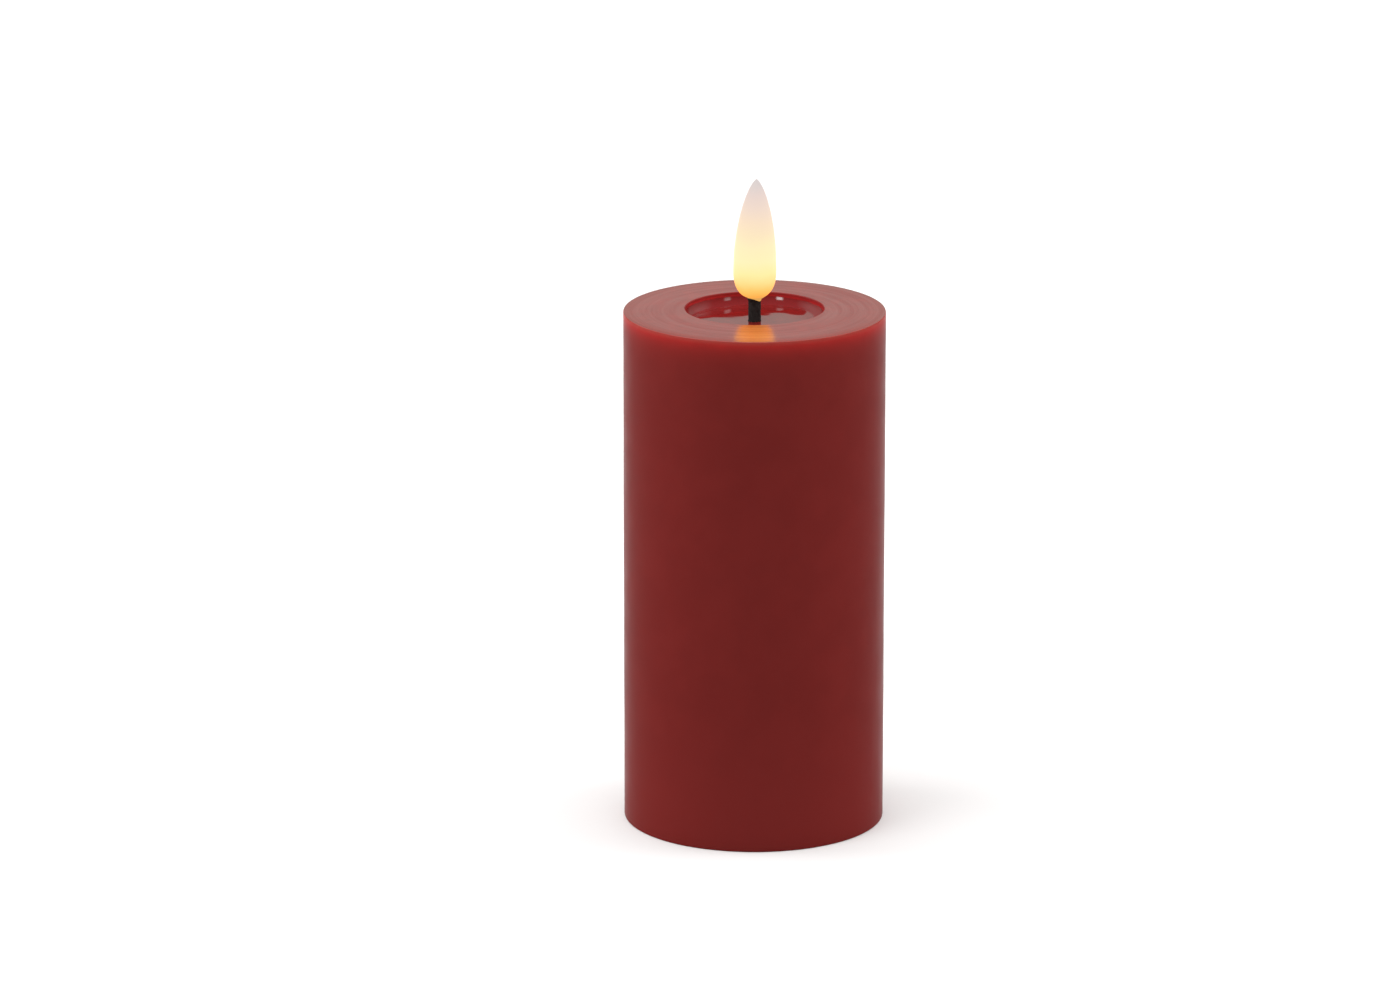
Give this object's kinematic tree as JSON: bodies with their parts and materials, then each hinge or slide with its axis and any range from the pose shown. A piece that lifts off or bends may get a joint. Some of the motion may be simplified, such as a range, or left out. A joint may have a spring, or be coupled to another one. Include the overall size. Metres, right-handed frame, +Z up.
{
  "type": "flameless led candle",
  "caption": "Tall wax pillar candle with a lit flame bulb on a wick over a melt pool; batteries, board and switch in its base.",
  "frame": {"origin": "centre of the wax ring that the candle stands on", "axes": "+Z up along the candle's axis, -Y towards the viewer, +X to the viewer's right"},
  "size_m": [0.075, 0.075, 0.1883],
  "materials": {
    "wax": "smooth dyed wax, satin, with a soft glow at thin edges",
    "pool_wax": "glossy poured wax",
    "core_plastic": "moulded, satin",
    "wick": "charred, dull",
    "flame": "frosted translucent diffuser, lit from inside",
    "led_epoxy": "clear warm epoxy",
    "tin": "tinned wire",
    "sleeve": "heat-shrink sleeve",
    "wire_red": "soft insulation",
    "wire_black": "soft insulation",
    "plug_nylon": "moulded nylon",
    "board": "solder mask over glass fibre",
    "chip_black": "moulded epoxy",
    "capacitor": "shrink jacket",
    "nickel": "nickel-plated strip",
    "resistor": "glazed chip",
    "receiver_black": "moulded, infrared-clear",
    "screw_steel": "zinc-plated",
    "knob_plastic": "moulded, satin",
    "base_plastic": "fine-textured moulding",
    "spring_steel": "nickel-plated spring wire",
    "cell_jacket": "satin metallised jacket over a steel can"
  },
  "bodies": {
    "candle": {"wax_pillar": "wax", "pool_wax": "pool_wax", "core_cup": "core_plastic", "wick_tube": "wick", "flame_bulb": "flame", "flame_led": "led_epoxy", "led_leads": "tin", "lead_sleeves": "sleeve", "led_wire_red": "wire_red", "led_wire_black": "wire_black", "wire_plug": "plug_nylon", "board_header": "plug_nylon", "control_board": "board", "controller_chip": "chip_black", "filter_capacitor": "capacitor", "timer_crystal": "nickel", "board_resistors": "resistor", "ir_receiver": "receiver_black", "board_screws": "screw_steel", "switch_body": "nickel", "base_housing": "base_plastic", "base_screws": "screw_steel", "positive_contact": "nickel", "negative_contact": "nickel", "top_spring": "spring_steel", "aa_cell_left": "cell_jacket", "aa_cell_right": "cell_jacket", "battery_lead_red": "wire_red", "battery_lead_black": "wire_black"},
    "door": {"battery_door": "base_plastic", "bridge_contact": "nickel", "door_spring": "spring_steel"},
    "knob": {"switch_knob": "knob_plastic"}
  },
  "joints": [
    {"name": "battery_door_hinge", "type": "hinge", "parent": "candle", "child": "door", "pos_m": [0, 0.0172, 0.0028], "axis": [1, 0, 0], "range_deg": [0, 80]},
    {"name": "switch_slide", "type": "slide", "parent": "candle", "child": "knob", "axis": [1, 0, 0], "range_m": [0, 0.0025]}
  ]
}
